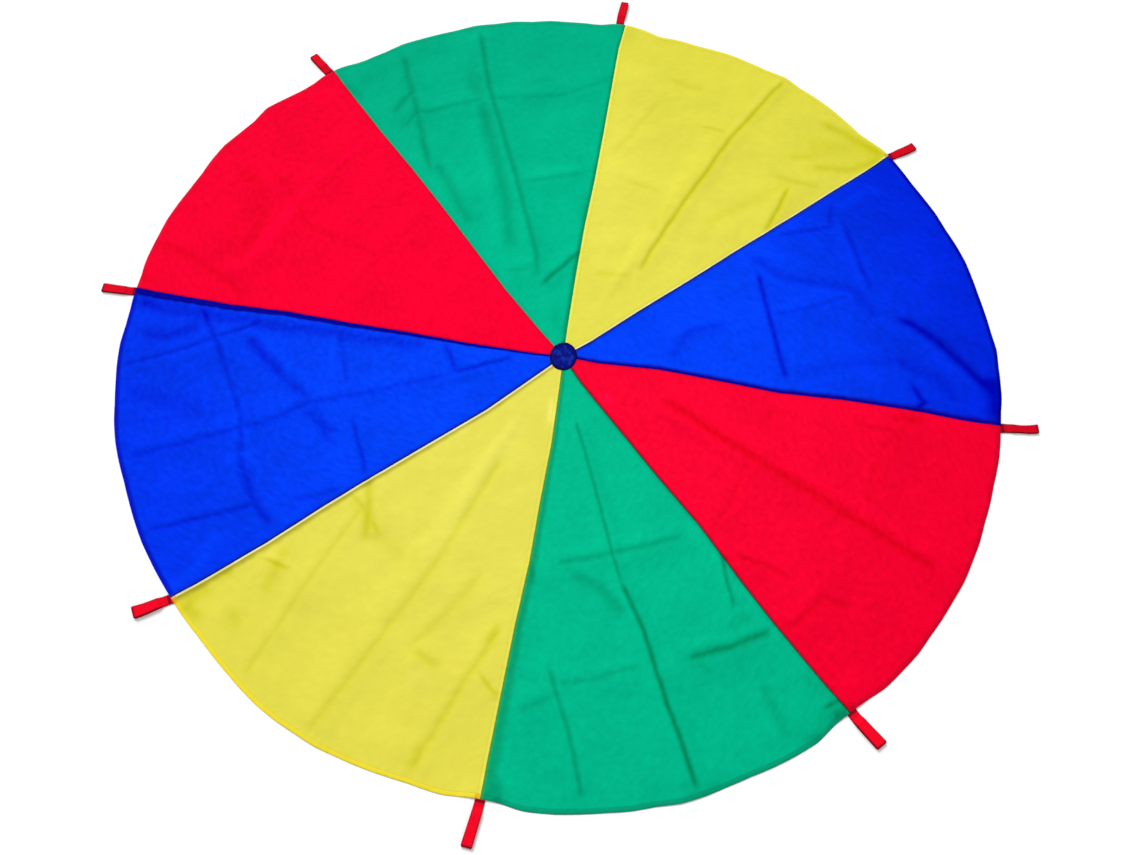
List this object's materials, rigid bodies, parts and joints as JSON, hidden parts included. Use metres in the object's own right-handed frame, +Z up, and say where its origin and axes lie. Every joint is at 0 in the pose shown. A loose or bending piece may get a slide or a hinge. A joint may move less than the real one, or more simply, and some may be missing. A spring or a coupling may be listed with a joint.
{
  "type": "play parachute",
  "caption": "Round play parachute of coloured cloth gores laid flat, with a hem, a centre patch and a webbing loop handle at every seam; it folds in half and its handles flop.",
  "frame": {"origin": "on the floor under the middle of the spread canopy, at the underside of the lower centre patch", "axes": "+Z up out of the canopy's top side; +Y along the seam between the first green and the second yellow gore; +X along the blue and red seam, a quarter turn clockwise from +Y seen from above"},
  "size_m": [1.9807, 1.9868, 0.0076],
  "materials": {
    "green_cloth": "smooth taffeta, slight sheen",
    "yellow_cloth": "smooth taffeta, slight sheen",
    "blue_cloth": "smooth taffeta, slight sheen",
    "red_cloth": "smooth taffeta, slight sheen",
    "navy_cloth": "smooth taffeta, slight sheen",
    "red_webbing": "woven webbing"
  },
  "bodies": {
    "near_half": {"centre_patch_bottom": "navy_cloth", "centre_patch_top": "navy_cloth", "handle_tail_3": "red_webbing", "panel_4_red": "red_cloth", "hem_4_red": "red_cloth", "seam_4_green": "green_cloth", "handle_tail_4": "red_webbing", "panel_5_green": "green_cloth", "hem_5_green": "green_cloth", "seam_5_yellow": "yellow_cloth", "handle_tail_5": "red_webbing", "panel_6_yellow": "yellow_cloth", "hem_6_yellow": "yellow_cloth", "seam_6_blue": "blue_cloth", "handle_tail_6": "red_webbing", "panel_7_blue": "blue_cloth", "hem_7_blue": "blue_cloth", "seam_7_blue": "blue_cloth", "handle_tail_7": "red_webbing"},
    "far_half": {"panel_1_green": "green_cloth", "hem_1_green": "green_cloth", "seam_1_yellow": "yellow_cloth", "handle_tail_1": "red_webbing", "panel_2_yellow": "yellow_cloth", "hem_2_yellow": "yellow_cloth", "seam_2_blue": "blue_cloth", "handle_tail_2": "red_webbing", "panel_3_blue": "blue_cloth", "hem_3_blue": "blue_cloth", "seam_3_blue": "blue_cloth", "panel_8_red": "red_cloth", "hem_8_red": "red_cloth", "seam_8_green": "green_cloth", "handle_tail_8": "red_webbing"},
    "handle_1": {"handle_1": "red_webbing"},
    "handle_2": {"handle_2": "red_webbing"},
    "handle_3": {"handle_3": "red_webbing"},
    "handle_4": {"handle_4": "red_webbing"},
    "handle_5": {"handle_5": "red_webbing"},
    "handle_6": {"handle_6": "red_webbing"},
    "handle_7": {"handle_7": "red_webbing"},
    "handle_8": {"handle_8": "red_webbing"}
  },
  "joints": [
    {"name": "canopy_fold", "type": "hinge", "parent": "near_half", "child": "far_half", "pos_m": [0, 0, 0.013], "axis": [1, 0, 0], "range_deg": [0, 180], "deforming": ["centre_patch_top", "centre_patch_bottom"]},
    {"name": "handle_1_flop", "type": "hinge", "parent": "far_half", "child": "handle_1", "pos_m": [-0.01102, 0.91699, 0.0013], "axis": [-1, -0.0087, 0], "range_deg": [-90, 90]},
    {"name": "handle_2_flop", "type": "hinge", "parent": "far_half", "child": "handle_2", "pos_m": [0.65155, 0.6466, 0.0013], "axis": [-0.6307, 0.776, 0], "range_deg": [-90, 90]},
    {"name": "handle_3_flop", "type": "hinge", "parent": "near_half", "child": "handle_3", "pos_m": [0.91867, -0.00334, 0.0013], "axis": [-0.1771, 0.9842, 0], "range_deg": [-90, 90]},
    {"name": "handle_4_flop", "type": "hinge", "parent": "near_half", "child": "handle_4", "pos_m": [0.65253, -0.64476, 0.0013], "axis": [0.6769, 0.7361, 0], "range_deg": [-90, 90]},
    {"name": "handle_5_flop", "type": "hinge", "parent": "near_half", "child": "handle_5", "pos_m": [-0.0003, -0.91791, 0.0013], "axis": [0.9949, -0.1011, 0], "range_deg": [-90, 90]},
    {"name": "handle_6_flop", "type": "hinge", "parent": "near_half", "child": "handle_6", "pos_m": [-0.64895, -0.65145, 0.0013], "axis": [0.497, -0.8678, 0], "range_deg": [-90, 90]},
    {"name": "handle_7_flop", "type": "hinge", "parent": "near_half", "child": "handle_7", "pos_m": [-0.91709, -0.00884, 0.0013], "axis": [0.0192, -0.9998, 0], "range_deg": [-90, 90]},
    {"name": "handle_8_flop", "type": "hinge", "parent": "far_half", "child": "handle_8", "pos_m": [-0.65613, 0.64126, 0.0013], "axis": [-0.6717, -0.7408, 0], "range_deg": [-90, 90]}
  ]
}
